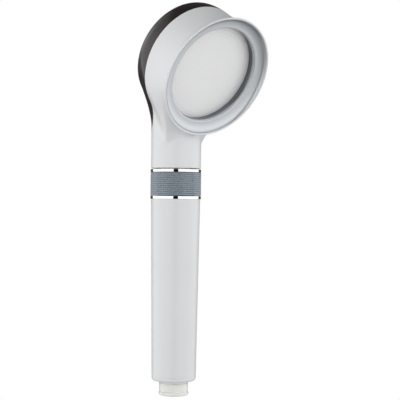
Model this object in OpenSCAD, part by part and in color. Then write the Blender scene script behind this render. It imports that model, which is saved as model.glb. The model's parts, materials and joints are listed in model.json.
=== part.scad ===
// Handheld shower head: filter handle, union collar, round head and screwed face ring.
// Millimetres. The origin is the centre of the inlet end face, +Z runs up the handle,
// and the spray face looks towards -Y and a little down.
// Threads are plain cylinders with a running gap; their pitch only sets how far things lift.

/* [Inlet] */
// outside diameter of the G 1/2 inlet thread
inlet_dia = 20.955; // [20.955:0.001:20.955]
// length of spigot that shows below the handle
inlet_len = 10.6; // [9.5:0.1:12]
// bore of the inlet spigot
inlet_bore = 13; // [11:0.5:14]

/* [Handle] */
// outside diameter at the bottom of the handle
handle_bottom_dia = 31.8; // [31.6:0.1:33]
// outside diameter at the top of the handle
handle_top_dia = 35.4; // [34.8:0.1:35.6]
// height from the inlet end face to the top of the handle
handle_top_z = 140.7; // [138:0.1:142]
// height of the end cap that shows at the bottom
cap_height = 3; // [2.5:0.1:4]

/* [Collar] */
// diameter over the knurling
knurl_dia = 36.6; // [36.3:0.1:37.4]
// height of the knurled band
knurl_height = 16.8; // [15:0.2:18]
// height of each bright band
band_height = 2.2; // [2:0.1:3]
// vertical grooves round the knurled band
knurl_count = 48; // [36:4:56]
// grooves that run round the knurled band
knurl_rings = 5; // [3:1:6]

/* [Head] */
// how far the spray face tips down from vertical, in degrees
face_tilt = 28.4; // [27:0.1:30]
// how far the middle of the face stands in front of the handle axis
face_forward = 43.2; // [42.5:0.1:44]
// height of the middle of the face above the inlet end face
face_height = 224.9; // [224:0.1:226]
// outside diameter of the neck
neck_dia = 35.9; // [35:0.1:36]
// depth of the drum from the lip to the joint with the back cover
seam_depth = 28; // [27.5:0.1:29]

/* [Face] */
// diameter over the crest of the flared lip
lip_dia = 88.1; // [87.6:0.1:88.6]
// diameter of the mouth at the bottom of the bowl
mouth_dia = 69.5; // [68.8:0.1:69.6]
// height of the crest of the lip in front of the face centre
lip_rise = 1.3; // [1:0.1:1.5]
// depth from the face centre to the mouth
funnel_depth = 3.3; // [3:0.1:3.8]
// depth from the face centre to the spray plate
plate_depth = 9.85; // [9.6:0.05:10]
// rings of spray holes round the middle one
hole_rings = 6; // [4:1:6]
// diameter of one spray hole
hole_dia = 0.6; // [0.4:0.1:0.8]

/* [Hidden] */
// every named part, in the order they are drawn
$fn = 96;
// a cut is always this much longer than the wall it goes through
over = 1;

// ---- handle, from the inlet up ----
inlet_r = inlet_dia / 2;
bore_r = inlet_bore / 2;
relief_r = 9.7;
relief_len = 1.9;
cap_r = handle_bottom_dia / 2;
tube_z0 = inlet_len + cap_height;
tube_r0 = cap_r + 0.04;
tube_r1 = handle_top_dia / 2;
tube_bore_r0 = 13.6;
tube_bore_r1 = 14.6;
bush_seat_r = 15.2;
bush_seat_z = 126;
flange_z = 15.2;
flange_top = 17.4;
flange_r = 12.6;
cap_neck_r = 13.5;
cap_neck_top = 26;
fitting_r = 7.2;
fitting_z = 11.4;
screen_t = 0.6;
regulator_top = 15.8;

// ---- filter cartridge ----
filter_z0 = 23.5;
filter_z1 = 119;
sleeve_r = 11.7;
sleeve_fold_r = 9.4;
core_r = 6.4;
core_bore_r = 5.2;
pleats = 30;
cartridge_r = 12.4;
outlet_top = 133;
outlet_r = 7.9;
ring_section = 0.8;

// ---- collar ----
band_r = knurl_dia / 2 - 0.15;
knurl_r = knurl_dia / 2;
lower_band_top = handle_top_z + band_height;
knurl_z0 = lower_band_top + 0.15;
knurl_z1 = knurl_z0 + knurl_height;
collar_top = knurl_z1 + band_height;
neck_z0 = collar_top + 0.6;
bush_thread_r = 13.2;
bush_top = 154.8;
bush_bore_r = 9.55;
washer_top = bush_top + 1.5;
running_gap = 0.1;
liner_r = 16.25;
spigot_r = 11.6;
spigot_foot_z0 = washer_top + 0.05;
spigot_foot_z1 = spigot_foot_z0 + 1.6;
spigot_foot_r = 12.9;
spigot_top = 177;
spigot_collar_z0 = 165.5;
spigot_collar_z1 = 168.5;
socket_r = 9.55;

// ---- head, measured along the face axis, depths are negative ----
lip_r = lip_dia / 2;
mouth_r = mouth_dia / 2;
neck_r = neck_dia / 2;
neck_bore_r = 15.05;
// where the front of the neck runs in under the lip
neck_front_top = 188;
front_z = -5.1;
seam_z = -seam_depth;
back_z = -44.2;
skirt_r = 38.5;
thread_r = skirt_r + running_gap;
skirt_end = -15;
plate_r = 36.6;
plate_front = -plate_depth;
plate_back = plate_front - 0.8;
frame_back = plate_back - 1.55;
gasket_back = frame_back - 1.15;
rim_z = gasket_back - 0.05;
cup_r = 33.8;
cup_bore_r = 31.5;
cup_floor = -22.5;
cup_back = -24.5;
web_z0 = -17.5;
web_z1 = -20.5;
lug_z0 = web_z1 - 0.1;
lug_z1 = lug_z0 - 2.2;
lug_r = 38.2;
screw_circle_r = 36.2;
screw_count = 4;
plenum_y = -24;
plenum_r = 14;
plenum_back = -38.3;
duct_bore_r = 6;
duct_top = 209.5;
key_w = 4;
key_end = -20;
key_r0 = 29.4;
key_r1 = 31.3;

// drum outline behind the lip, as [radius, depth]
drum_outline = [
  [41.55, front_z], [41.05, -8], [40.7, -11], [40.45, -14], [40.4, -18],
  [40.45, -23], [40.65, -26], [40.8, seam_z], [40.85, -31], [40.6, -35],
  [40.0, -38.5], [38.75, -41.2], [36.4, -42.8], [30, -43.6], [18, -44.05], [0, back_z]
];
// hollow inside the drum behind the thread
drum_hollow = [
  [0, web_z1], [thread_r, web_z1], [thread_r, -26], [38.9, -31], [38.6, -35],
  [37.9, -38], [36.6, -40], [34.8, -41], [29, -41.6], [18, -42], [0, -42.1]
];
// joint between white shell and dark cover, side view, as [Y, Z] down the neck
seam_run = [[4.3, 197], [11.2, 186.5], [15.6, 178], [18.5, 171]];

// ---- helpers ----

// puts its children on the face axis: +Z looks out of the face, +Y runs up the face
module face_frame() {
  translate([0, -face_forward, face_height])
    rotate([90 + face_tilt, 0, 0])
      children();
}

// a plain tube from z0 to z1
module tube(outer, inner, z0, z1) {
  translate([0, 0, z0])
    difference() {
      cylinder(r = outer, h = z1 - z0);
      translate([0, 0, -over])
        cylinder(r = inner, h = z1 - z0 + 2 * over);
    }
}

// a rod from z0 to z1
module rod(radius, z0, z1) {
  translate([0, 0, z0])
    cylinder(r = radius, h = z1 - z0);
}

// an O-ring round the Z axis
module o_ring(middle_r, section_r, z) {
  translate([0, 0, z])
    rotate_extrude()
      translate([middle_r, 0])
        circle(r = section_r);
}

// children repeated evenly round the Z axis
module around(count, first = 0) {
  for (i = [0 : count - 1])
    rotate([0, 0, first + i * 360 / count])
      children();
}

// ---- inlet ----

// milky spigot that takes the hose nut
module inlet_spigot() {
  color("#d9dccb")
    difference() {
      union() {
        rotate_extrude()
          polygon([
            [0, 0], [inlet_r, 0], [inlet_r, inlet_len - relief_len], [relief_r, inlet_len - relief_len + 0.6],
            [relief_r, inlet_len + 0.5], [0, inlet_len + 0.5]
          ]);
        rod(10.4, inlet_len + 0.4, flange_z + 0.1);
        rod(flange_r, flange_z, flange_top);
      }
      rod(bore_r, -over, fitting_z + 0.1);
      rod(fitting_r, fitting_z, flange_top + over);
    }
}

// flat ring under the spigot flange
module spigot_seal() {
  color("#2b2b2b")
    tube(12.5, 10.6, 14.25, flange_z - 0.02);
}

// stainless strainer in the inlet
module inlet_screen() {
  color("#b9bcbf")
    difference() {
      rod(fitting_r - 0.05, fitting_z, fitting_z + screen_t);
      rod(0.6, fitting_z - over, fitting_z + screen_t + over);
      around(6)
        translate([2.4, 0, 0])
          rod(0.6, fitting_z - over, fitting_z + screen_t + over);
      around(12)
        translate([4.8, 0, 0])
          rod(0.6, fitting_z - over, fitting_z + screen_t + over);
    }
}

// disc with six ports that limits the flow
module flow_regulator() {
  color("#3f6fa8")
    difference() {
      rod(fitting_r - 0.05, fitting_z + screen_t + 0.1, regulator_top);
      around(6)
        translate([4.6, 0, 0])
          rod(1.1, fitting_z, regulator_top + over);
      rod(2.4, regulator_top - 1.4, regulator_top + over);
    }
}

// white cap that closes the bottom of the handle
module end_cap() {
  color("#eceeee")
    difference() {
      union() {
        rotate_extrude()
          union() {
            polygon([
              [0, inlet_len], [cap_r - 1.8, inlet_len], [cap_r - 1.8, inlet_len + 1.8],
              [cap_r, inlet_len + 1.8], [cap_r, tube_z0 - 0.25], [cap_r - 0.25, tube_z0],
              [0, tube_z0]
            ]);
            translate([cap_r - 1.8, inlet_len + 1.8])
              intersection() {
                circle(r = 1.8);
                translate([0, -2])
                  square([2, 2]);
              }
          }
        rod(cap_neck_r, tube_z0 - 0.1, cap_neck_top);
      }
      rod(10.6, inlet_len - over, cap_neck_top + over);
      rod(flange_r + 0.1, 14.2, cap_neck_top + over);
      tube(cap_neck_r + over, cap_neck_r - 0.5, 20, 22);
    }
}

// O-ring between end cap and handle
module cap_seal() {
  color("#2b2b2b")
    tube(13.58, 13.05, 20.3, 21.7);
}

// white tapered grip
module handle_tube() {
  color("#eef0f0")
    difference() {
      rotate_extrude()
        polygon([
          [0, tube_z0], [tube_r0 - 0.25, tube_z0], [tube_r0, tube_z0 + 0.25],
          [tube_r1, handle_top_z], [0, handle_top_z]
        ]);
      translate([0, 0, tube_z0 - 0.01])
        cylinder(r1 = tube_bore_r0, r2 = tube_bore_r1, h = handle_top_z - tube_z0 + 0.02);
      rod(bush_seat_r, bush_seat_z, handle_top_z + over);
    }
}

// ---- filter cartridge ----

// closed lower end of the cartridge, standing on four feet
module filter_bottom_cap() {
  color("#dfe3e6")
    union() {
      difference() {
        rod(cartridge_r, 21.6, 26.5);
        rod(sleeve_r + 0.2, filter_z0, 26.5 + over);
      }
      around(4)
        translate([9.6, -0.8, flange_top + 0.05])
          cube([1.8, 1.6, 4.4]);
    }
}

// slotted tube in the middle of the cartridge
module filter_core() {
  color("#cfd4d8")
    difference() {
      tube(core_r, core_bore_r, filter_z0, filter_z1);
      for (level = [0 : 7])
        translate([0, 0, 30 + level * 11])
          around(4, level * 45)
            translate([0, -1.5, 0])
              cube([core_r + over, 3, 7]);
    }
}

// pleated filter cloth round the core
module filter_sleeve() {
  color("#e6e3d8")
    translate([0, 0, filter_z0])
      linear_extrude(filter_z1 - filter_z0)
        difference() {
          polygon([
            for (i = [0 : 2 * pleats - 1])
              let (r = i % 2 == 0 ? sleeve_r : sleeve_fold_r, a = i * 180 / pleats)
                [r * cos(a), r * sin(a)]
          ]);
          circle(r = core_r + 0.1);
        }
}

// open upper end of the cartridge with its outlet pipe
module filter_top_cap() {
  color("#dfe3e6")
    difference() {
      union() {
        rod(cartridge_r, 116.5, 122);
        rod(outlet_r, 122 - 0.1, outlet_top);
      }
      rod(sleeve_r + 0.2, 116.5 - over, filter_z1 + 0.05);
      rod(core_bore_r, filter_z1, outlet_top + over);
      tube(outlet_r + over, outlet_r - 0.5, 128.4, 130.6);
    }
}

// O-ring on the cartridge outlet
module filter_seal() {
  color("#2b2b2b")
    o_ring(8.5, 1.0, 129.5);
}

// ---- top of the handle and collar ----

// threaded bush bonded into the top of the handle
module handle_bush() {
  color("#c9ccce")
    difference() {
      union() {
        rod(bush_seat_r - 0.05, bush_seat_z, lower_band_top);
        rod(bush_thread_r, lower_band_top - 0.1, bush_top);
      }
      rod(bush_bore_r, bush_seat_z - over, bush_top + over);
    }
}

// a bright band with softened edges
module bright_band(z0, z1) {
  difference() {
    rotate_extrude()
      polygon([
        [0, z0], [band_r - 0.3, z0], [band_r, z0 + 0.3],
        [band_r, z1 - 0.3], [band_r - 0.3, z1], [0, z1]
      ]);
    rod(16.3, z0 - over, z1 + over);
  }
}

// bright band at the top of the handle
module lower_band() {
  color("#d7dadd")
    difference() {
      rotate_extrude()
        polygon([
          [0, handle_top_z], [band_r - 0.3, handle_top_z], [band_r, handle_top_z + 0.3],
          [band_r, lower_band_top - 0.3], [band_r - 0.3, lower_band_top], [0, lower_band_top]
        ]);
      rod(bush_seat_r, handle_top_z - over, lower_band_top + over);
    }
}

// sealing washer on top of the bush
module union_washer() {
  color("#2b2b2b")
    tube(12.9, 9.8, bush_top, washer_top);
}

// knurled metal grip of the collar
module knurled_sleeve() {
  color("#8d9296")
    difference() {
      tube(knurl_r, liner_r + 0.05, knurl_z0, knurl_z1);
      around(knurl_count)
        translate([knurl_r - 0.35, -0.35, knurl_z0 - over])
          cube([over, 0.7, knurl_height + 2 * over]);
      for (level = [1 : knurl_rings])
        translate([0, 0, knurl_z0 + level * knurl_height / (knurl_rings + 1)])
          tube(knurl_r + over, knurl_r - 0.35, -0.35, 0.35);
    }
}

// plastic liner that carries the collar thread
module collar_liner() {
  color("#4c5054")
    difference() {
      rod(liner_r, knurl_z0 + 0.2, collar_top - 0.2);
      rod(bush_thread_r + running_gap, knurl_z0 - over, spigot_foot_z1 + 0.2);
      rod(spigot_r + running_gap, spigot_foot_z1, collar_top + over);
    }
}

// bright band at the top of the collar
module upper_band() {
  color("#d7dadd")
    bright_band(knurl_z1 + 0.02, collar_top);
}

// ---- head ----

// flanged tail of the head that the collar pulls down
module neck_spigot() {
  color("#c9ccce")
    difference() {
      union() {
        rod(spigot_foot_r, spigot_foot_z0, spigot_foot_z1);
        rod(spigot_r, spigot_foot_z0, spigot_top);
        rod(neck_bore_r - 0.05, spigot_collar_z0, spigot_collar_z1);
      }
      rod(8, spigot_foot_z0 - over, spigot_top);
      rod(socket_r, spigot_collar_z1, spigot_top + over);
    }
}

// O-ring between the water duct and the neck spigot
module duct_seal() {
  color("#2b2b2b")
    o_ring(8.5, 1.0, 173);
}

// solid outside of the head behind the face ring
module head_outside() {
  union() {
    face_frame()
      rotate_extrude()
        polygon(concat([[0, front_z]], drum_outline));
    rod(neck_r, neck_z0, neck_front_top);
    intersection() {
      rod(neck_r, neck_front_top - 2, 232);
      face_frame()
        translate([-60, -120, -42.6])
          cube([120, 160, 42.6 - 5.5]);
    }
  }
}

// hollow inside the head
module head_inside() {
  union() {
    face_frame()
      rotate_extrude()
        polygon(drum_hollow);
    intersection() {
      rod(neck_bore_r, neck_z0 - over, 226);
      face_frame()
        translate([-60, -120, -40.4])
          cube([120, 160, 40.4 + web_z1]);
    }
  }
}

// everything behind the joint between shell and cover, moved back by a gap
module cover_zone(gap) {
  top_y = -face_forward + seam_depth * cos(face_tilt);
  top_z = face_height + seam_depth * sin(face_tilt);
  run_y = sin(face_tilt);
  run_z = cos(face_tilt);
  translate([-70, gap, 0])
    rotate([90, 0, 90])
      linear_extrude(140)
        polygon(concat(
          [[90, 160], [90, 320], [top_y - 70 * run_y, top_z + 70 * run_z],
           [top_y + 40 * run_y, top_z - 40 * run_z]],
          seam_run, [[22, 165], [40, 160]]));
}

// white shell: drum and neck, with the web that carries the water chamber
module head_shell() {
  color("#eef0f0")
    difference() {
      head_outside();
      head_inside();
      cover_zone(0);
      face_frame()
        rod(thread_r, web_z0, front_z + over);
      face_frame()
        rod(cup_r + 0.2, web_z1 - over, web_z0 + over);
      rod(neck_bore_r, neck_z0 - over, 190);
      rod(outlet_r + 0.4, 189, 216);
      face_frame()
        around(screw_count, 45)
          translate([screw_circle_r, 0, 0])
            rod(1.15, web_z1 - over, web_z0 - 0.6);
    }
}

// dark glossy back with the tail that runs down the neck
module back_cover() {
  color("#2a2123")
    intersection() {
      difference() {
        head_outside();
        head_inside();
      }
      cover_zone(0.12);
    }
}

// soft ring that closes the joint behind the drum
module cover_seal() {
  color("#2b2b2b")
    difference() {
      face_frame()
        tube(38.3, 36.9, -28.8, -27.2);
      rod(neck_r + 0.3, 150, 240);
    }
}

// cup behind the spray plate with the duct that feeds it
module water_chamber() {
  color("#b7bcc0")
    difference() {
      union() {
        face_frame()
          union() {
            rod(cup_r, cup_back, rim_z);
            rod(lug_r, lug_z1, lug_z0);
            translate([0, plenum_y, 0])
              rod(plenum_r, plenum_back, cup_back + 0.1);
          }
        rod(outlet_r, 169.5, duct_top);
      }
      face_frame()
        difference() {
          rod(cup_bore_r, cup_floor, rim_z + over);
          around(2, 90)
            for (side = [-1, 1])
              translate([key_r0 - 0.3, side * (key_w / 2 + 0.2 + 0.8) - 0.8, -21.5])
                cube([3, 1.6, 7.5]);
        }
      face_frame()
        translate([0, plenum_y, 0])
          rod(plenum_r - 2, plenum_back + 1.8, cup_floor + 0.1);
      rod(duct_bore_r, 168, duct_top - 0.2);
      face_frame()
        around(screw_count, 45)
          translate([screw_circle_r, 0, 0])
            rod(1.3, lug_z1 - over, lug_z0 + 0.05);
      tube(outlet_r + over, outlet_r - 0.5, 171.9, 174.1);
    }
}

// screws that hold the chamber to the shell
module chamber_screws() {
  color("#9a9ea2")
    face_frame()
      around(screw_count, 45)
        translate([screw_circle_r, 0, 0])
          union() {
            rod(1.1, lug_z1 - 0.1, web_z1 + 2.2);
            difference() {
              rod(1.9, lug_z1 - 1.5, lug_z1 - 0.02);
              rod(0.8, lug_z1 - 2.5, lug_z1 - 0.8);
            }
          }
}

// ---- face ----

// stainless spray plate
module spray_plate() {
  color("#d5d8da")
    face_frame()
      difference() {
        rod(plate_r, plate_back, plate_front);
        rod(hole_dia / 2, plate_back - over, plate_front + over);
        for (ring = [1 : hole_rings])
          around(6 * ring, ring * 7)
            translate([ring * 4.8, 0, 0])
              rod(hole_dia / 2, plate_back - over, plate_front + over, $fn = 24);
      }
}

// frame behind the plate whose keys stop it turning
module plate_frame() {
  color("#c3c7ca")
    face_frame()
      union() {
        tube(plate_r, 30.4, frame_back, plate_back);
        around(2, 90)
          translate([key_r0, -key_w / 2, key_end])
            cube([key_r1 - key_r0, key_w, frame_back - key_end + 0.3]);
      }
}

// gasket between frame and chamber
module plate_gasket() {
  color("#2b2b2b")
    face_frame()
      tube(33.7, 31.7, gasket_back, frame_back);
}

// flared lip, bowl and threaded skirt of the face ring
module bezel_ring() {
  color("#e3e6e8")
    face_frame()
      rotate_extrude()
        polygon([
          [mouth_r, -funnel_depth - 0.25], [mouth_r + 0.3, -funnel_depth + 0.1],
          [37, lip_rise - 3.8], [39, lip_rise - 3.15], [40.6, lip_rise - 2.3],
          [41.7, lip_rise - 1.35], [lip_r - 1.65, lip_rise - 0.55], [lip_r - 1.3, lip_rise - 0.12],
          [lip_r - 0.85, lip_rise], [lip_r - 0.35, lip_rise - 0.1], [lip_r - 0.05, lip_rise - 0.4],
          [lip_r, lip_rise - 0.8], [lip_r - 0.2, lip_rise - 1.5], [lip_r - 0.75, lip_rise - 2.5],
          [42.55, lip_rise - 3.6], [41.95, lip_rise - 4.9], [41.6, -4.95], [skirt_r, -4.95], [skirt_r, skirt_end],
          [plate_r + running_gap, skirt_end], [plate_r + running_gap, -14.2],
          [36.1, -13.9], [36.1, -13.3], [plate_r + running_gap, -13],
          [plate_r + running_gap, plate_front + 0.05], [35.85, plate_front + 0.05],
          [35.85, -funnel_depth - 0.4], [mouth_r, -funnel_depth - 0.4]
        ]);
}

// dark bright step between bowl and plate
module step_ring() {
  color("#5a6067")
    face_frame()
      tube(35.82, mouth_r + 0.02, plate_front + 0.1, -funnel_depth - 0.42);
}

inlet_spigot();
spigot_seal();
inlet_screen();
flow_regulator();
end_cap();
cap_seal();
handle_tube();
filter_bottom_cap();
filter_core();
filter_sleeve();
filter_top_cap();
filter_seal();
handle_bush();
lower_band();
union_washer();
knurled_sleeve();
collar_liner();
upper_band();
neck_spigot();
duct_seal();
head_shell();
back_cover();
cover_seal();
water_chamber();
chamber_screws();
spray_plate();
plate_frame();
plate_gasket();
bezel_ring();
step_ring();
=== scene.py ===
"""Handheld shower head: detailed pieces, materials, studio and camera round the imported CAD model."""
import json
import math

import bmesh
import bpy
import numpy as np
from mathutils import Matrix, Vector
from mathutils.geometry import delaunay_2d_cdt

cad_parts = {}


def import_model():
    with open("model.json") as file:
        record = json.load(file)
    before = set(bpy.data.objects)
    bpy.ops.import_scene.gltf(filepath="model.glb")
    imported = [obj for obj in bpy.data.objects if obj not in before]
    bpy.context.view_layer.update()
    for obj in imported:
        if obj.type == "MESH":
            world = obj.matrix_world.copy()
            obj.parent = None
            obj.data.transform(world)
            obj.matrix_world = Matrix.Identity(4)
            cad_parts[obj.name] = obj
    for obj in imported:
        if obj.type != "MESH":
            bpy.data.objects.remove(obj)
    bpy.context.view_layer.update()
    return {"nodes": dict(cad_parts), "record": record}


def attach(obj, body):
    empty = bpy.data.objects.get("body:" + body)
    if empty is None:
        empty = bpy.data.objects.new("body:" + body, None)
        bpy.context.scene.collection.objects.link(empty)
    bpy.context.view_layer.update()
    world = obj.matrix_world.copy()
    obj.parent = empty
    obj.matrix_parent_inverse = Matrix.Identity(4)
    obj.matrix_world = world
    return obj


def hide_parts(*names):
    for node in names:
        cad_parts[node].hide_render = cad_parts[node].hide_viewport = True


MM = 0.001

# The face axis, as the CAD model places it.
FACE_TILT = math.radians(28.4)
FACE_CENTRE = Vector((0.0, -43.2, 224.9))
FACE_OUT = Vector((0.0, -math.cos(FACE_TILT), -math.sin(FACE_TILT)))
FACE_UP = Vector((0.0, -math.sin(FACE_TILT), math.cos(FACE_TILT)))

# The studio camera: it looks level at the handle from the front left.
CAMERA_AZIMUTH = -40.0
CAMERA_ELEVATION = 0.1
CAMERA_DISTANCE = 777.2
CAMERA_LENS = 97.1
CAMERA_AIM_Z = 140.0
CAMERA_TURN = 1.295
CAMERA_ROLL = 0.64

# Studio light: radiances, and how far the softboxes reach round and up from the camera, in degrees.
ROOM_LIGHT = 0.08
LEFT_LIGHT = 1.27
RIGHT_LIGHT = 1.22
SLOT_LIGHT = 0.005
SOFTBOX_START = 11.0
SOFTBOX_END = 142.0
SOFTBOX_BOTTOM = -88.0
SOFTBOX_TOP = 62.0
SOFTBOX_CELLS = 24
# Places of the set, in metres. The dark slot stands just outside the softboxes.
SOFTBOX_Z = 0.15
SOFTBOX_RADIUS = 1.5
SLOT_RADIUS = 1.52
SWEEP_RADIUS = 4.0
FLOOR_RADIUS = 2.6
FLOOR_SIDES = 64
FLOOR_Z = -0.03
# Heights and distances behind the object between which the softboxes fade, and the share left.
TOP_FADE = (0.85, 1.45)
TOP_SHARE = 0.36
UNDER_FADE = (-1.15, -0.1)
UNDER_SHARE = 0.3
BACK_FADE = (0.82, 0.98)
BACK_HEIGHTS = (0.35, 0.8)
BACK_SHARE = 0.04

# Head outline behind the face ring, as radius and depth along the face axis.
DRUM_OUTLINE = (
    (41.1, 4.0), (41.1, 0.0), (41.0, -3.0), (40.8, -5.0), (40.62, -8.0), (40.5, -11.0), (40.42, -14.0),
    (40.4, -18.0), (40.45, -23.0), (40.65, -26.0), (40.8, -28.0), (40.85, -31.0),
    (40.6, -35.0), (39.95, -38.5), (38.7, -41.2), (36.4, -42.8), (30.0, -43.6),
    (18.0, -44.05), (0.0, -44.2),
)
NECK_RADIUS = 17.95
NECK_TOP = 232.0
NECK_BOTTOM = 162.65
NECK_BORE = 15.05
SKIRT_BORE = 38.6
LIP_CLEAR = 44.15
# Where the dark cover starts: depth behind the face, then its tail as (y, z) down the neck.
SEAM_DEPTH = 28.0
SEAM_RUN = ((4.3, 197.0), (11.2, 186.5), (15.6, 178.0), (18.5, 171.0))
COVER_GAP = 0.15

# Fillet between drum and neck: its size, its gain in front, and the share of it left on the dome
# and at the lip.
FILLET = 16.0
FILLET_GAIN = 13.0
FILLET_DOME_SHARE = 0.08
FILLET_LIP_SHARE = 0.1

# Grid that the head is meshed on, and the step of its slopes.
SKIN_LOW = (-46.0, -70.0, 155.0)
SKIN_HIGH = (46.0, 24.0, 284.0)
SKIN_STEP = 1.25
SLOPE_STEP = 0.05

# Bowl of the face ring: inner radius, width, front edge and depth of its curve.
BOWL_RADIUS = 35.45
BOWL_WIDTH = 7.3
BOWL_FRONT = 1.05
BOWL_DEPTH = 4.15
MOUTH_RADIUS = 34.75

# Spray plate.
PLATE_RADIUS = 36.6
PLATE_SIDES = 144
PLATE_FRONT = -9.85
PLATE_THICKNESS = 0.8
HOLE_RINGS = 14
HOLE_SPACING = 2.4
HOLE_RADIUS = 0.22
HOLE_SIDES = 8
HOLE_TWIST = 3.5

# Collar: knurled grip between two bands, each as (low, high).
KNURL_RADIUS = 18.3
KNURL_LOW = 143.05
KNURL_HIGH = 159.85
KNURL_ROWS = 12
KNURL_COLUMNS = 84
KNURL_DEPTH = 0.42
KNURL_INNER = 16.4
BAND_RADIUS = 18.15
UPPER_BAND = (159.87, 162.05)
UPPER_BAND_INNER = 16.3
LOWER_BAND = (140.7, 142.9)
LOWER_BAND_INNER = 15.2

# Pitches of the two helical threads.
UNION_PITCH = 2.5
SKIRT_PITCH = 3.0


def new_object(name, mesh):
    """Link a mesh as a new object."""
    obj = bpy.data.objects.new(name, mesh)
    bpy.context.scene.collection.objects.link(obj)
    return obj


def mesh_from(name, verts, faces, scale=MM):
    """Make a mesh object from points in millimetres."""
    mesh = bpy.data.meshes.new(name)
    mesh.from_pydata([tuple(c * scale for c in v) for v in verts], [], [tuple(f) for f in faces])
    mesh.validate()
    mesh.update()
    return new_object(name, mesh)


def fix_normals(obj, angle=35.0, turn=True):
    """Point faces outwards if asked, and shade smooth between edges sharper than the angle."""
    if turn:
        bm = bmesh.new()
        bm.from_mesh(obj.data)
        bmesh.ops.recalc_face_normals(bm, faces=bm.faces)
        bm.to_mesh(obj.data)
        bm.free()
    obj.data.polygons.foreach_set("use_smooth", [True] * len(obj.data.polygons))
    obj.data.set_sharp_from_angle(angle=math.radians(angle))
    obj.data.update()


def smooth_line(points, steps=8):
    """Run a Catmull-Rom curve through the points."""
    pts = [np.array(p, float) for p in points]
    ends = [2 * pts[0] - pts[1]] + pts + [2 * pts[-1] - pts[-2]]
    out = []
    for i in range(1, len(ends) - 2):
        a, b, c, d = ends[i - 1], ends[i], ends[i + 1], ends[i + 2]
        for k in range(steps):
            t = k / steps
            out.append(0.5 * (2 * b + (c - a) * t + (2 * a - 5 * b + 4 * c - d) * t * t
                              + (3 * b - 3 * c + d - a) * t ** 3))
    out.append(pts[-1])
    return np.array(out)


def round_corners(points, radius, steps=5):
    """Round the corners of a closed outline in the plane."""
    pts = [np.array(p, float) for p in points]
    out = []
    count = len(pts)
    for i, here in enumerate(pts):
        before = pts[i - 1] - here
        after = pts[(i + 1) % count] - here
        reach_a = np.linalg.norm(before)
        reach_b = np.linalg.norm(after)
        cut = min(radius, 0.45 * reach_a, 0.45 * reach_b)
        start = here + before / reach_a * cut
        end = here + after / reach_b * cut
        for k in range(steps + 1):
            t = k / steps
            out.append((1 - t) ** 2 * start + 2 * t * (1 - t) * here + t * t * end)
    return out


def face_point(radial_x, radial_y, depth):
    """Turn face coordinates into a point of the model, in millimetres."""
    point = FACE_CENTRE + Vector((radial_x, 0.0, 0.0)) + FACE_UP * radial_y + FACE_OUT * depth
    return tuple(point)


def lathe(name, outline, place, segments=192):
    """Spin a closed outline of (radius, height) points, which may be a function of the angle."""
    verts = []
    faces = []
    for s in range(segments):
        a = 2 * math.pi * s / segments
        ca, sa = math.cos(a), math.sin(a)
        ring = outline(a) if callable(outline) else outline
        count = len(ring)
        verts.extend(place(r * ca, r * sa, h) for r, h in ring)
    for s in range(segments):
        n = (s + 1) % segments
        for i in range(count):
            j = (i + 1) % count
            faces.append((s * count + i, n * count + i, n * count + j, s * count + j))
    return mesh_from(name, verts, faces)


def upright(x, y, z):
    """Leave a point as it is: heights are measured up the handle."""
    return (x, y, z)


# ---------------------------------------------------------------- head surface

def outline_field(outline, reach=70.0, step=0.5):
    """Tabulate the signed distance to a spun outline over radius and depth."""
    rad = np.arange(0.0, reach, step)
    dep = np.arange(-reach, 30.0, step)
    rr, dd = np.meshgrid(rad, dep, indexing="ij")
    flat = np.stack([rr.ravel(), dd.ravel()], 1)
    closed = np.vstack([outline, [[0.0, outline[0][1]]]])
    best = np.full(len(flat), 1e9)
    for a, b in zip(closed[:-1], closed[1:]):
        ab = b - a
        length = float(ab @ ab)
        t = np.clip(((flat - a) @ ab) / max(length, 1e-12), 0, 1)
        gap = flat - a - t[:, None] * ab
        best = np.minimum(best, (gap ** 2).sum(1))
    inside = np.zeros(len(flat), bool)
    ring = np.vstack([closed, closed[:1]])
    for a, b in zip(ring[:-1], ring[1:]):
        crosses = (a[1] > flat[:, 1]) != (b[1] > flat[:, 1])
        drop = b[1] - a[1]
        if abs(drop) < 1e-12:
            continue
        at = a[0] + (flat[:, 1] - a[1]) / drop * (b[0] - a[0])
        inside ^= crosses & (flat[:, 0] < at)
    table = np.sqrt(best)
    table[inside] *= -1
    return rad, dep, table.reshape(rr.shape), step


def read_field(field, radius, depth):
    """Read the tabulated distance by bilinear interpolation."""
    rad, dep, table, step = field
    u = np.clip((radius - rad[0]) / step, 0, len(rad) - 1.001)
    v = np.clip((depth - dep[0]) / step, 0, len(dep) - 1.001)
    iu = u.astype(int)
    iv = v.astype(int)
    fu = u - iu
    fv = v - iv
    return ((table[iu, iv] * (1 - fu) + table[iu + 1, iv] * fu) * (1 - fv)
            + (table[iu, iv + 1] * (1 - fu) + table[iu + 1, iv + 1] * fu) * fv)


def soft_min(a, b, k):
    """Union of two distances with a fillet."""
    h = np.maximum(k - np.abs(a - b), 0) / k
    return np.minimum(a, b) - h * h * k * 0.25


def soft_max(a, b, k):
    """Intersection of two distances with a rounded edge."""
    return -soft_min(-a, -b, k)


def ease(value):
    """Go smoothly from 0 to 1 as the value does."""
    value = np.clip(value, 0.0, 1.0)
    return value * value * (3.0 - 2.0 * value)


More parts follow.
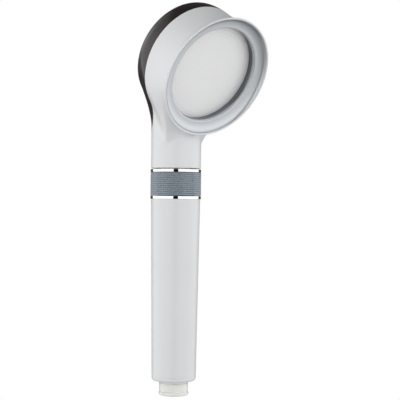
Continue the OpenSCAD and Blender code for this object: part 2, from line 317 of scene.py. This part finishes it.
def head_distance(points, field):
    """Signed distance to the outside of the head: drum and neck with a fillet between."""
    rel = points - np.array(FACE_CENTRE)
    depth = rel @ np.array(FACE_OUT)
    across = rel @ np.array(FACE_UP)
    radius = np.sqrt(rel[:, 0] ** 2 + across ** 2)
    drum = read_field(field, radius, depth)
    column = np.sqrt(points[:, 0] ** 2 + points[:, 1] ** 2) - NECK_RADIUS
    behind = soft_max(depth + 9.0, -depth - 42.4, 9.0)
    reach = soft_min(points[:, 2] - 189.0, behind, 3.0)
    neck = soft_max(column, reach, 4.0)
    neck = np.maximum(neck, np.maximum(points[:, 2] - NECK_TOP, 158.0 - points[:, 2]))
    fillet = FILLET + FILLET_GAIN * ease(-points[:, 1] / 12.0)
    on_dome = ease((-36.0 - depth) / 6.0) * ease((points[:, 2] - 202.0) / 12.0)
    fillet = fillet * (1.0 - (1.0 - FILLET_DOME_SHARE) * on_dome)
    off_lip = ease((-3.0 - depth) / 8.0)
    fillet = fillet * (FILLET_LIP_SHARE + (1.0 - FILLET_LIP_SHARE) * off_lip)
    return soft_min(drum, neck, fillet)


def slope_at(distance, points):
    """Slope of a distance by central differences."""
    steps = SLOPE_STEP * np.eye(3)
    return np.stack([distance(points + e) - distance(points - e) for e in steps], 1) / (2 * SLOPE_STEP)


def settle(verts, distance, rounds):
    """Move points on to the surface, where the distance is zero."""
    for _ in range(rounds):
        slope = slope_at(distance, verts)
        size = np.maximum((slope ** 2).sum(1, keepdims=True), 0.2)
        verts = verts - distance(verts)[:, None] * slope / size
    return verts


def skin(distance, low, high, step):
    """Mesh the zero level of a distance by surface nets, then settle it on the true surface."""
    axes = [np.arange(low[i], high[i] + step, step) for i in range(3)]
    shape = tuple(len(a) for a in axes)
    gx, gy, gz = np.meshgrid(*axes, indexing="ij")
    grid = np.stack([gx.ravel(), gy.ravel(), gz.ravel()], 1)
    value = distance(grid).reshape(shape)
    sign = value < 0
    cell = np.zeros(tuple(s - 1 for s in shape), int)
    for dx in (0, 1):
        for dy in (0, 1):
            for dz in (0, 1):
                cell += sign[dx:shape[0] - 1 + dx, dy:shape[1] - 1 + dy, dz:shape[2] - 1 + dz]
    live = (cell > 0) & (cell < 8)
    number = np.full(live.shape, -1)
    number[live] = np.arange(live.sum())
    where = np.argwhere(live)
    verts = np.array(low) + (where + 0.5) * step
    faces = []
    for axis in range(3):
        first = [slice(None)] * 3
        second = [slice(None)] * 3
        first[axis] = slice(0, -1)
        second[axis] = slice(1, None)
        change = sign[tuple(first)] != sign[tuple(second)]
        rising = sign[tuple(first)] & ~sign[tuple(second)]
        spots = np.argwhere(change)
        up = rising[change]
        b, c = (axis + 1) % 3, (axis + 2) % 3
        keep = ((spots[:, b] > 0) & (spots[:, b] < shape[b] - 1)
                & (spots[:, c] > 0) & (spots[:, c] < shape[c] - 1))
        spots = spots[keep]
        up = up[keep]
        corner = []
        for ob, oc in ((-1, -1), (0, -1), (0, 0), (-1, 0)):
            at = spots.copy()
            at[:, b] += ob
            at[:, c] += oc
            corner.append(number[at[:, 0], at[:, 1], at[:, 2]])
        quad = np.stack(corner, 1)
        quad[~up] = quad[~up][:, ::-1]
        faces.append(quad)
    return settle(verts, distance, 8), np.vstack(faces)


def relax(verts, faces, distance, rounds=3):
    """Even out the mesh on its own surface."""
    for _ in range(rounds):
        total = np.zeros_like(verts)
        hits = np.zeros(len(verts))
        for i in range(4):
            j = (i + 1) % 4
            np.add.at(total, faces[:, i], verts[faces[:, j]])
            np.add.at(hits, faces[:, i], 1)
            np.add.at(total, faces[:, j], verts[faces[:, i]])
            np.add.at(hits, faces[:, j], 1)
        verts = settle(0.4 * verts + 0.6 * total / hits[:, None], distance, 3)
    return verts


def combine(obj, tool, operation):
    """Apply a boolean with another object, then drop that object."""
    mod = obj.modifiers.new("cut", "BOOLEAN")
    mod.operation = operation
    mod.solver = "MANIFOLD"
    mod.object = tool
    depsgraph = bpy.context.evaluated_depsgraph_get()
    mesh = bpy.data.meshes.new_from_object(obj.evaluated_get(depsgraph))
    obj.modifiers.clear()
    old = obj.data
    obj.data = mesh
    bpy.data.meshes.remove(old)
    bpy.data.objects.remove(tool)


def solid_lathe(name, outline, place, segments=160):
    """Spin an outline that starts and ends on the axis into a closed solid."""
    verts = []
    faces = []
    inner = outline[1:-1]
    count = len(inner)
    for s in range(segments):
        a = 2 * math.pi * s / segments
        verts.extend(place(r * math.cos(a), r * math.sin(a), h) for r, h in inner)
    first = len(verts)
    verts.append(place(0, 0, outline[0][1]))
    verts.append(place(0, 0, outline[-1][1]))
    for s in range(segments):
        n = (s + 1) % segments
        for i in range(count - 1):
            faces.append((s * count + i, n * count + i, n * count + i + 1, s * count + i + 1))
        faces.append((n * count, s * count, first))
        faces.append((s * count + count - 1, n * count + count - 1, first + 1))
    obj = mesh_from(name, verts, faces)
    fix_normals(obj)
    return obj


def cover_block(gap):
    """Solid behind the joint between shell and cover."""
    top = FACE_CENTRE - FACE_OUT * SEAM_DEPTH
    up = top + FACE_UP * 70
    down = top - FACE_UP * 38
    run = smooth_line([(top.y - FACE_UP.y * 30, top.z - FACE_UP.z * 30), (down.y, down.z)]
                      + list(SEAM_RUN), 6)
    side = [(90, 160), (90, 320), (up.y, up.z)]
    side += [tuple(p) for p in run] + [(22, 165), (40, 160)]
    verts = [(x, y + gap, z) for x in (-70, 70) for y, z in side]
    count = len(side)
    faces = [tuple(range(count)), tuple(range(2 * count - 1, count - 1, -1))]
    for i in range(count):
        j = (i + 1) % count
        faces.append((j, i, count + i, count + j))
    obj = mesh_from("cover_block", verts, faces)
    fix_normals(obj)
    return obj


def copy_object(obj, name):
    """Copy an object with its own mesh."""
    twin = obj.copy()
    twin.data = obj.data.copy()
    twin.name = name
    bpy.context.scene.collection.objects.link(twin)
    return twin


def true_normals(obj, distance):
    """Shade the outside by the slope of its distance, which hides slivers left by the cuts."""
    mesh = obj.data
    points = np.empty(len(mesh.vertices) * 3)
    mesh.vertices.foreach_get("co", points)
    points = points.reshape(-1, 3) / MM
    near = np.abs(distance(points)) < 0.15
    slope = slope_at(distance, points)
    slope /= np.maximum(np.linalg.norm(slope, axis=1, keepdims=True), 1e-9)
    normals = [Vector(c.vector) for c in mesh.corner_normals]
    for face in mesh.polygons:
        corners = list(face.vertices)
        if not near[corners].all():
            continue
        mean = slope[corners].mean(axis=0)
        if float(mean @ np.array(face.normal)) > 0.3 or face.area < 1e-7:
            for loop, vertex in zip(face.loop_indices, corners):
                normals[loop] = Vector(slope[vertex])
    mesh.normals_split_custom_set(normals)


def build_head():
    """Make the white shell and the dark cover from one smooth surface."""
    field = outline_field(smooth_line(DRUM_OUTLINE, 6))

    def distance(points):
        return head_distance(points, field)

    verts, faces = skin(distance, SKIN_LOW, SKIN_HIGH, SKIN_STEP)
    verts = relax(verts, faces, distance)
    body = mesh_from("head_body", verts, faces)
    fix_normals(body)
    cut = solid_lathe("cut_bottom", [(0, 100), (30, 100), (30, NECK_BOTTOM + 0.5),
                                     (18.1, NECK_BOTTOM + 0.45), (17.5, NECK_BOTTOM),
                                     (0, NECK_BOTTOM)], upright)
    combine(body, cut, "DIFFERENCE")
    ring = solid_lathe("cut_ring", [(0, 20), (LIP_CLEAR, 20), (LIP_CLEAR, -5.0), (SKIRT_BORE, -5.0),
                                    (SKIRT_BORE, -17.5), (0, -17.5)], face_point)
    combine(body, ring, "DIFFERENCE")
    bore = solid_lathe("cut_bore", [(0, 150), (NECK_BORE, 150), (NECK_BORE, 190), (0, 190)], upright)
    combine(body, bore, "DIFFERENCE")
    inside = solid_lathe("cut_inside", [(0, -20.5), (SKIRT_BORE, -20.5), (38.9, -31), (37.9, -38),
                                        (34.8, -41), (18, -42), (0, -42.1)], face_point)
    combine(body, inside, "DIFFERENCE")
    shell = body
    cover = copy_object(body, "cover_skin")
    combine(shell, cover_block(0.0), "DIFFERENCE")
    combine(cover, cover_block(COVER_GAP), "INTERSECT")
    shell.name = "shell_skin"
    for obj in (shell, cover):
        fix_normals(obj, 30.0, False)
        true_normals(obj, distance)
    return shell, cover


# ---------------------------------------------------------------- turned pieces

def triangle_wave(x):
    """Go from 0 to 1 and back over one unit."""
    x = x - math.floor(x)
    return 1 - abs(2 * x - 1)


def thread_run(crest, depth, low, high, pitch, angle, step=0.25):
    """Points up a helical thread, from low to high, for one angle round the axis."""
    points = []
    count = int(round((high - low) / step))
    for k in range(count + 1):
        h = low + (high - low) * k / count
        fade = min(1.0, (h - low) / 0.8, (high - h) / 0.8)
        wave = triangle_wave(h / pitch - angle / (2 * math.pi))
        cut = min(1.0, max(0.0, 1.6 * wave - 0.3))
        points.append((crest - depth * cut * fade, h))
    return points


def build_bezel():
    """Face ring: concave bowl, rolled lip and threaded skirt."""
    bowl = [(BOWL_RADIUS + BOWL_WIDTH * math.sin(t) ** 0.95, BOWL_FRONT - BOWL_DEPTH * math.cos(t))
            for t in (math.radians(4.0 * k) for k in range(1, 21))]
    lip = smooth_line([(42.78, 0.85), (43.05, 1.15), (43.4, 1.27), (43.75, 1.14), (43.98, 0.75),
                       (43.98, 0.3), (43.7, -0.25), (43.1, -0.9), (42.35, -1.6), (41.65, -2.45),
                       (41.15, -3.4), (40.9, -4.3), (40.8, -4.93)], 4)
    mouth = [(MOUTH_RADIUS + 0.02, -4.3), (MOUTH_RADIUS, -4.1), (MOUTH_RADIUS + 0.06, -3.8),
             (MOUTH_RADIUS + 0.25, -3.4), (MOUTH_RADIUS + 0.6, -3.16)] + bowl

    def outline(angle):
        skirt = thread_run(38.5, 0.8, -14.6, -5.7, SKIRT_PITCH, angle)[::-1]
        back = [(40.78, -4.98), (38.7, -4.98), (38.5, -5.1)]
        inside = [(38.2, -15.0), (36.8, -15.0), (36.7, -14.2), (36.1, -13.9), (36.1, -13.3),
                  (36.7, -13.0), (36.7, -9.8), (35.85, -9.8), (35.85, -4.3)]
        return mouth + [tuple(p) for p in lip] + back + skirt + inside

    ring = lathe("bezel_skin", outline, face_point, 216)
    fix_normals(ring, 28.0)
    return ring


def build_step():
    """Dark ring between the bowl and the plate, with one groove round it."""
    outline = [(35.82, -9.75), (35.82, -4.34), (34.9, -4.34), (34.77, -4.45), (34.72, -5.6),
               (34.95, -5.85), (34.95, -6.15), (34.72, -6.4), (34.7, -9.3), (34.8, -9.75)]
    ring = lathe("step_skin", outline, face_point)
    fix_normals(ring, 28.0)
    return ring


def build_plate():
    """Thin plate with fine holes in rings, cut through."""
    centres = [(0.0, 0.0)]
    for ring in range(1, HOLE_RINGS + 1):
        for k in range(6 * ring):
            a = 2 * math.pi * k / (6 * ring) + math.radians(HOLE_TWIST * ring)
            centres.append((ring * HOLE_SPACING * math.cos(a), ring * HOLE_SPACING * math.sin(a)))
    rim = [2 * math.pi * k / PLATE_SIDES for k in range(PLATE_SIDES)]
    flat = [(PLATE_RADIUS * math.cos(a), PLATE_RADIUS * math.sin(a)) for a in rim]
    loops = [list(range(PLATE_SIDES))]
    for cx, cy in centres:
        start = len(flat)
        for k in range(HOLE_SIDES):
            a = 2 * math.pi * k / HOLE_SIDES
            flat.append((cx + HOLE_RADIUS * math.cos(a), cy + HOLE_RADIUS * math.sin(a)))
        loops.append(list(range(start, start + HOLE_SIDES)))
    edges = [(loop[i], loop[(i + 1) % len(loop)]) for loop in loops for i in range(len(loop))]
    made = delaunay_2d_cdt([Vector(p) for p in flat], edges, [], 1, 1e-7)
    points = [tuple(p) for p in made[0]]
    middle = np.array(centres)
    faces = []
    for tri in made[2]:
        c = np.mean([points[i] for i in tri], axis=0)
        if np.min(((middle - c) ** 2).sum(1)) > (HOLE_RADIUS * 0.9) ** 2:
            faces.append(tuple(tri))
    borders = {}
    for tri in faces:
        for i in range(3):
            edge = (tri[i], tri[(i + 1) % 3])
            if edge[::-1] in borders:
                del borders[edge[::-1]]
            else:
                borders[edge] = True
    count = len(points)
    verts = [face_point(x, y, depth) for depth in (PLATE_FRONT, PLATE_FRONT - PLATE_THICKNESS)
             for x, y in points]
    solid = list(faces) + [tuple(i + count for i in reversed(f)) for f in faces]
    solid += [(b, a, a + count, b + count) for a, b in borders]
    plate = mesh_from("plate_skin", verts, solid)
    fix_normals(plate, 30.0)
    return plate


def build_knurl():
    """Collar grip covered in small square pyramids."""
    low, high = KNURL_LOW, KNURL_HIGH
    rows = KNURL_ROWS
    columns = KNURL_COLUMNS
    heights = [low + 0.25 + (high - low - 0.5) * k / (rows * 4) for k in range(rows * 4 + 1)]

    def groove(x):
        """Depth share over one cell: 1 in the groove, 0 on the flat."""
        x = abs((x % 1.0) - 0.5) * 2
        return max(0.0, (x - 0.3) / 0.7)

    def outline(angle):
        across = groove(angle * columns / (2 * math.pi))
        points = [(KNURL_INNER, low), (KNURL_RADIUS - 0.35, low), (KNURL_RADIUS - 0.1, low + 0.12)]
        for k, h in enumerate(heights):
            cut = max(across, groove(k / 4))
            points.append((KNURL_RADIUS - KNURL_DEPTH * cut, h))
        points += [(KNURL_RADIUS - 0.1, high - 0.12), (KNURL_RADIUS - 0.35, high), (KNURL_INNER, high)]
        return points

    sleeve = lathe("knurl_skin", outline, upright, columns * 4)
    fix_normals(sleeve, 12.0)
    return sleeve


def build_band(name, heights, inner):
    """Polished band with rolled edges."""
    low, high = heights
    corners = [(inner, low), (BAND_RADIUS, low), (BAND_RADIUS, high), (inner, high)]
    band = lathe(name, round_corners(corners, 0.4, 6), upright)
    fix_normals(band, 28.0)
    return band


def build_bush():
    """Threaded bush that the collar screws on to."""

    def outline(angle):
        thread = thread_run(13.2, 0.85, 143.6, 154.2, UNION_PITCH, angle)
        flange = [(9.55, 126.0), (15.15, 126.0), (15.15, 142.7), (14.95, 142.9), (13.2, 142.9)]
        return flange + thread + [(12.6, 154.8), (9.9, 154.8), (9.55, 154.5)]

    bush = lathe("bush_skin", outline, upright, 144)
    fix_normals(bush, 28.0)
    return bush


def build_spigot():
    """Milky inlet with a rounded foot rim, a groove above it and an open bore."""
    foot = smooth_line([(9.3, 0.0), (9.95, 0.1), (10.45, 0.45), (10.7, 1.0), (10.72, 1.6),
                        (10.6, 2.1)], 4)
    outline = [(6.5, 0.35), (6.75, 0.1), (7.1, 0.0)] + [tuple(p) for p in foot]
    outline += [(10.25, 2.35), (9.95, 2.5), (9.95, 2.75), (10.25, 2.95), (10.35, 3.3), (10.4, 8.2),
                (10.3, 8.5), (9.75, 8.95), (9.7, 9.3), (9.7, 11.1), (10.4, 11.2), (10.4, 15.2),
                (12.6, 15.2), (12.6, 17.4), (7.2, 17.4), (7.2, 11.4), (6.5, 11.4)]
    spigot = lathe("spigot_skin", outline, upright, 160)
    fix_normals(spigot, 30.0)
    return spigot


# ---------------------------------------------------------------- materials

def new_material(name):
    """Start a node material with one principled shader."""
    mat = bpy.data.materials.new(name)
    mat.use_nodes = True
    tree = mat.node_tree
    tree.nodes.clear()
    out = tree.nodes.new("ShaderNodeOutputMaterial")
    shader = tree.nodes.new("ShaderNodeBsdfPrincipled")
    tree.links.new(shader.outputs[0], out.inputs[0])
    return mat, tree, shader


def noise(tree, scale, detail=3.0, stretch=(1, 1, 1)):
    """Noise in object space."""
    coord = tree.nodes.new("ShaderNodeTexCoord")
    mapping = tree.nodes.new("ShaderNodeMapping")
    mapping.inputs["Scale"].default_value = stretch
    tex = tree.nodes.new("ShaderNodeTexNoise")
    tex.inputs["Scale"].default_value = scale
    tex.inputs["Detail"].default_value = detail
    tree.links.new(coord.outputs["Object"], mapping.inputs["Vector"])
    tree.links.new(mapping.outputs["Vector"], tex.inputs["Vector"])
    return tex


def span(tree, source, low, high, from_low=0.3, from_high=0.7):
    """Map a value to a range."""
    node = tree.nodes.new("ShaderNodeMapRange")
    node.inputs["From Min"].default_value = from_low
    node.inputs["From Max"].default_value = from_high
    node.inputs["To Min"].default_value = low
    node.inputs["To Max"].default_value = high
    tree.links.new(source, node.inputs["Value"])
    return node.outputs[0]


def product(tree, first, second):
    """Multiply two values."""
    node = tree.nodes.new("ShaderNodeMath")
    node.operation = "MULTIPLY"
    tree.links.new(first, node.inputs[0])
    tree.links.new(second, node.inputs[1])
    return node.outputs[0]


def blend_colour(tree, source, dark, light):
    """Map a value to a colour between two."""
    node = tree.nodes.new("ShaderNodeMix")
    node.data_type = "RGBA"
    node.inputs["A"].default_value = (*dark, 1)
    node.inputs["B"].default_value = (*light, 1)
    tree.links.new(source, node.inputs["Factor"])
    return node.outputs["Result"]


def add_bump(tree, shader, height, strength, distance):
    """Bump the shader's normal."""
    node = tree.nodes.new("ShaderNodeBump")
    node.inputs["Strength"].default_value = strength
    node.inputs["Distance"].default_value = distance
    tree.links.new(height, node.inputs["Height"])
    tree.links.new(node.outputs["Normal"], shader.inputs["Normal"])


def plastic(name, dark, light, rough, coat=0.0, bump=0.0, metallic=0.0):
    """Plastic or satin paint: slight drift of shade and roughness, and a faint skin if asked."""
    mat, tree, shader = new_material(name)
    shader.inputs["Metallic"].default_value = metallic
    shader.inputs["Coat Weight"].default_value = coat
    shader.inputs["Coat Roughness"].default_value = 0.08
    drift = noise(tree, 30.0, 2.0).outputs["Fac"]
    shade = span(tree, drift, 0.0, 1.0, 0.15, 0.85)
    tree.links.new(blend_colour(tree, shade, dark, light), shader.inputs["Base Color"])
    change = span(tree, drift, rough * 0.9, rough * 1.12, 0.15, 0.85)
    tree.links.new(change, shader.inputs["Roughness"])
    if bump:
        fine = noise(tree, 260.0, 2.0)
        add_bump(tree, shader, fine.outputs["Fac"], bump, 0.00003)
    return mat


def metal(name, dark, light, rough, stretch=(1, 1, 1), scale=600.0, bump=0.02):
    """Metal with fine tool marks along one direction."""
    mat, tree, shader = new_material(name)
    shader.inputs["Metallic"].default_value = 1.0
    marks = noise(tree, scale, 5.0, stretch).outputs["Fac"]
    tree.links.new(blend_colour(tree, span(tree, marks, 0, 1), dark, light), shader.inputs["Base Color"])
    tree.links.new(span(tree, marks, rough * 0.8, rough * 1.25), shader.inputs["Roughness"])
    add_bump(tree, shader, marks, bump, 0.00004)
    return mat


def along(tree, source, direction):
    """How far a vector reaches along a direction."""
    node = tree.nodes.new("ShaderNodeVectorMath")
    node.operation = "DOT_PRODUCT"
    node.inputs[1].default_value = direction
    tree.links.new(source, node.inputs[0])
    return node.outputs["Value"]


def face_depth(tree, far, near):
    """0 to 1 between two depths, in mm, along the face axis from the face centre."""
    coord = tree.nodes.new("ShaderNodeTexCoord")
    ahead = along(tree, coord.outputs["Object"], tuple(FACE_OUT))
    centre = FACE_CENTRE.dot(FACE_OUT)
    return span(tree, ahead, 0.0, 1.0, (centre + far) * MM, (centre + near) * MM)


def step_metal_and_painted_reflection(name):
    """Dark polished metal with a lighter band in front of the groove: the band is a painted reflection
    that stands in for light on the rounded mouth edge.
    """
    mat, tree, shader = new_material(name)
    shader.inputs["Metallic"].default_value = 1.0
    marks = noise(tree, 600.0, 5.0)
    # painted reflection: the metal in front of the groove is painted lighter, standing in for light on
    # the rounded mouth edge
    front = face_depth(tree, -6.05, -5.75)
    shade = blend_colour(tree, front, (0.17, 0.185, 0.21), (0.42, 0.44, 0.46))
    tree.links.new(shade, shader.inputs["Base Color"])
    tree.links.new(span(tree, marks.outputs["Fac"], 0.14, 0.22), shader.inputs["Roughness"])
    return mat


def face_paint(name):
    """White outside and satin silver in the bowl, which is the side that looks out of the face."""
    mat, tree, shader = new_material(name)
    geometry = tree.nodes.new("ShaderNodeNewGeometry")
    facing = along(tree, geometry.outputs["Normal"], tuple(FACE_OUT))
    behind_lip = span(tree, face_depth(tree, 0.1, 0.9), 1.0, 0.0, 0.0, 1.0)
    silver = product(tree, span(tree, facing, 0.0, 1.0, 0.1, 0.35), behind_lip)
    shade = blend_colour(tree, silver, (0.82, 0.835, 0.845), (0.61, 0.64, 0.665))
    tree.links.new(shade, shader.inputs["Base Color"])
    tree.links.new(span(tree, silver, 0.0, 0.85, 0.0, 1.0), shader.inputs["Metallic"])
    drift = noise(tree, 25.0, 1.0)
    tree.links.new(span(tree, drift.outputs["Fac"], 0.3, 0.36), shader.inputs["Roughness"])
    return mat


def translucent(name):
    """Milky plastic that lets some light through."""
    mat, tree, shader = new_material(name)
    drift = noise(tree, 60.0, 2.0)
    tree.links.new(blend_colour(tree, span(tree, drift.outputs["Fac"], 0, 1),
                                (0.88, 0.88, 0.82), (0.93, 0.93, 0.88)), shader.inputs["Base Color"])
    shader.inputs["Subsurface Weight"].default_value = 0.6
    shader.inputs["Subsurface Radius"].default_value = (1.0, 0.95, 0.8)
    shader.inputs["Subsurface Scale"].default_value = 0.004
    fine = noise(tree, 700.0, 3.0)
    tree.links.new(span(tree, fine.outputs["Fac"], 0.22, 0.3), shader.inputs["Roughness"])
    add_bump(tree, shader, fine.outputs["Fac"], 0.03, 0.00005)
    return mat


def cloth(name):
    """Felted filter cloth."""
    mat, tree, shader = new_material(name)
    fibre = noise(tree, 1500.0, 8.0)
    tree.links.new(blend_colour(tree, span(tree, fibre.outputs["Fac"], 0, 1),
                                (0.55, 0.53, 0.47), (0.8, 0.78, 0.72)), shader.inputs["Base Color"])
    shader.inputs["Roughness"].default_value = 0.9
    shader.inputs["Sheen Weight"].default_value = 0.3
    add_bump(tree, shader, fibre.outputs["Fac"], 0.5, 0.0002)
    return mat


def make_materials():
    """All materials by the record's slot names."""
    return {
        "spigot_plastic": translucent("spigot_plastic_look"),
        "white_gloss": plastic("white_gloss_look", (0.80, 0.81, 0.82), (0.83, 0.84, 0.85), 0.3),
        "shell_white": plastic("shell_white_look", (0.80, 0.815, 0.825), (0.83, 0.845, 0.855), 0.3),
        "bezel_silver": face_paint("bezel_silver_look"),
        "bright_chrome": metal("bright_chrome_look", (0.90, 0.91, 0.93), (0.95, 0.96, 0.97), 0.05,
                               (1, 1, 8), 300.0, 0.005),
        "knurl_steel": metal("knurl_steel_look", (0.265, 0.30, 0.338), (0.36, 0.405, 0.44), 0.34,
                             (1, 1, 1), 900.0, 0.1),
        "dark_gloss": plastic("dark_gloss_look", (0.014, 0.008, 0.009), (0.020, 0.011, 0.012), 0.28,
                              coat=0.18),
        "plate_steel": plastic("plate_steel_look", (0.95, 0.952, 0.957), (0.97, 0.972, 0.977), 0.5,
                               bump=0.03, metallic=0.25),
        # step ring: dark metal with a painted reflection band in front of its groove
        "step_chrome": step_metal_and_painted_reflection("step_chrome_look"),
        "seal_rubber": plastic("seal_rubber_look", (0.018, 0.018, 0.018), (0.03, 0.03, 0.03), 0.6),
        "inner_plastic": plastic("inner_plastic_look", (0.50, 0.52, 0.54), (0.58, 0.60, 0.62), 0.45),
        "cartridge_plastic": plastic("cartridge_plastic_look", (0.70, 0.72, 0.73),
                                     (0.78, 0.8, 0.81), 0.4),
        "regulator_plastic": plastic("regulator_plastic_look", (0.08, 0.19, 0.40),
                                     (0.12, 0.25, 0.5), 0.4),
        "filter_cloth": cloth("filter_cloth_look"),
        "liner_plastic": plastic("liner_plastic_look", (0.10, 0.11, 0.12), (0.14, 0.15, 0.16), 0.45),
        "brass_plated": metal("brass_plated_look", (0.52, 0.50, 0.45), (0.64, 0.62, 0.57), 0.25,
                              (1, 1, 12), 300.0, 0.03),
        "fine_steel": metal("fine_steel_look", (0.46, 0.47, 0.48), (0.58, 0.59, 0.60), 0.3,
                            (1, 1, 1), 700.0, 0.03),
    }


# ---------------------------------------------------------------- studio

def camera_only(obj):
    """Let the camera see a piece of the set, but no light, shadow or reflection."""
    obj.visible_diffuse = False
    obj.visible_glossy = False
    obj.visible_transmission = False
    obj.visible_shadow = False
    obj.visible_volume_scatter = False


def glowing(name, strength):
    """Plain white emission."""
    mat, tree, shader = new_material(name)
    shader.inputs["Base Color"].default_value = (0.0, 0.0, 0.0, 1)
    shader.inputs["Specular IOR Level"].default_value = 0.0
    shader.inputs["Roughness"].default_value = 1.0
    shader.inputs["Emission Color"].default_value = (1, 1, 1, 1)
    shader.inputs["Emission Strength"].default_value = strength
    return mat


def softbox_glow(name, strength):
    """Emission that fades towards the top, the bottom and low behind the object."""
    mat = glowing(name, strength)
    tree = mat.node_tree
    coord = tree.nodes.new("ShaderNodeTexCoord")
    split = tree.nodes.new("ShaderNodeSeparateXYZ")
    tree.links.new(coord.outputs["Object"], split.inputs[0])
    height = split.outputs["Z"]
    turn = math.radians(CAMERA_AZIMUTH)
    away = along(tree, coord.outputs["Object"], (-math.sin(turn), math.cos(turn), 0.0))
    top = span(tree, height, strength, TOP_SHARE * strength, *TOP_FADE)
    under = span(tree, height, UNDER_SHARE, 1.0, *UNDER_FADE)
    low = span(tree, height, 1.0, 0.0, *BACK_HEIGHTS)
    dark = product(tree, span(tree, away, 0.0, 1.0, *BACK_FADE), low)
    behind = span(tree, dark, 1.0, BACK_SHARE, 0.0, 1.0)
    level = product(tree, product(tree, top, under), behind)
    shader = [n for n in tree.nodes if n.type == "BSDF_PRINCIPLED"][0]
    tree.links.new(level, shader.inputs["Emission Strength"])
    return mat


def softbox(name, turn_from, turn_to, strength, radius=SOFTBOX_RADIUS):
    """A curved wall of soft light, placed by turn round the handle from the camera."""
    cells = SOFTBOX_CELLS
    verts = []
    for j in range(cells + 1):
        rise = math.radians(SOFTBOX_BOTTOM + (SOFTBOX_TOP - SOFTBOX_BOTTOM) * j / cells)
        for i in range(cells + 1):
            turn = math.radians(CAMERA_AZIMUTH + turn_from + (turn_to - turn_from) * i / cells)
            flat = radius * math.cos(rise)
            z = SOFTBOX_Z + radius * math.sin(rise)
            verts.append((flat * math.sin(turn), -flat * math.cos(turn), z))
    faces = []
    for j in range(cells):
        for i in range(cells):
            k = j * (cells + 1) + i
            faces.append((k, k + 1, k + cells + 2, k + cells + 1))
    obj = mesh_from(name, verts, faces, 1.0)
    obj.data.materials.append(softbox_glow(name + "_glow", strength))
    obj.visible_camera = False
    return obj


def build_studio():
    """White sweep, pale floor and two curved softboxes with a dark slot at the camera."""
    scene = bpy.context.scene
    scene.view_settings.view_transform = "Standard"
    scene.view_settings.look = "None"
    world = bpy.data.worlds.new("studio")
    scene.world = world
    world.use_nodes = True
    back = world.node_tree.nodes["Background"]
    back.inputs["Color"].default_value = (1.0, 1.0, 1.0, 1)
    back.inputs["Strength"].default_value = ROOM_LIGHT
    bpy.ops.mesh.primitive_uv_sphere_add(segments=48, ring_count=24, radius=SWEEP_RADIUS)
    sweep = bpy.context.object
    sweep.name = "sweep"
    sweep.data.materials.append(glowing("sweep_look", 1.0))
    camera_only(sweep)
    rim = [2 * math.pi * k / FLOOR_SIDES for k in range(FLOOR_SIDES)]
    verts = [(0, 0, FLOOR_Z)]
    verts += [(FLOOR_RADIUS * math.cos(a), FLOOR_RADIUS * math.sin(a), FLOOR_Z) for a in rim]
    faces = [(0, 1 + k, 1 + (k + 1) % FLOOR_SIDES) for k in range(FLOOR_SIDES)]
    floor = mesh_from("floor", verts, faces, 1.0)
    floor.data.materials.append(glowing("floor_look", 1.0))
    camera_only(floor)
    softbox("dark_slot", -SOFTBOX_START, SOFTBOX_START, SLOT_LIGHT, SLOT_RADIUS)
    softbox("softbox_left", -SOFTBOX_END, -SOFTBOX_START, LEFT_LIGHT)
    softbox("softbox_right", SOFTBOX_START, SOFTBOX_END, RIGHT_LIGHT)


def build_camera():
    """Place the camera level with the handle, turned a little so that the object sits centred."""
    a = math.radians(CAMERA_AZIMUTH)
    e = math.radians(CAMERA_ELEVATION)
    back = Vector((math.sin(a) * math.cos(e), -math.cos(a) * math.cos(e), math.sin(e)))
    right = Vector((0, 0, 1)).cross(back).normalized()
    up = back.cross(right)
    spot = Vector((0, 0, CAMERA_AIM_Z)) + back * CAMERA_DISTANCE
    r = math.radians(CAMERA_ROLL)
    right, up = right * math.cos(r) + up * math.sin(r), up * math.cos(r) - right * math.sin(r)
    t = math.radians(CAMERA_TURN)
    back, right = back * math.cos(t) - right * math.sin(t), right * math.cos(t) + back * math.sin(t)
    data = bpy.data.cameras.new("studio_camera")
    data.lens = CAMERA_LENS
    data.sensor_width = 36.0
    data.clip_start = 0.01
    camera = bpy.data.objects.new("studio_camera", data)
    bpy.context.scene.collection.objects.link(camera)
    turn = Matrix((right, up, back)).transposed().to_4x4()
    camera.matrix_world = Matrix.Translation(spot * MM) @ turn
    bpy.context.scene.camera = camera


def dress(obj, look, body, slot, *nodes):
    """Give a piece its material, the body it rides on and the CAD nodes it stands for."""
    obj.data.materials.clear()
    obj.data.materials.append(look)
    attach(obj, body)
    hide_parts(*nodes)


def main():
    """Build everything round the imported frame."""
    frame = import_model()
    build_camera()
    build_studio()
    looks = make_materials()
    slots = {row["node"]: row["material_slot"] for row in frame["record"]["subparts"]}
    for node, obj in frame["nodes"].items():
        obj.data.materials.clear()
        obj.data.materials.append(looks[slots[node]])
    shell, cover = build_head()
    pieces = [
        (shell, "head", "head_shell"),
        (cover, "head", "back_cover"),
        (build_bezel(), "bezel", "bezel_ring"),
        (build_step(), "bezel", "step_ring"),
        (build_plate(), "plate", "spray_plate"),
        (build_knurl(), "collar", "knurled_sleeve"),
        (build_band("upper_band_skin", UPPER_BAND, UPPER_BAND_INNER), "collar", "upper_band"),
        (build_band("lower_band_skin", LOWER_BAND, LOWER_BAND_INNER), "handle", "lower_band"),
        (build_bush(), "handle", "handle_bush"),
        (build_spigot(), "handle", "inlet_spigot"),
    ]
    for obj, body, node in pieces:
        dress(obj, looks[slots[node]], body, slots[node], node)


main()
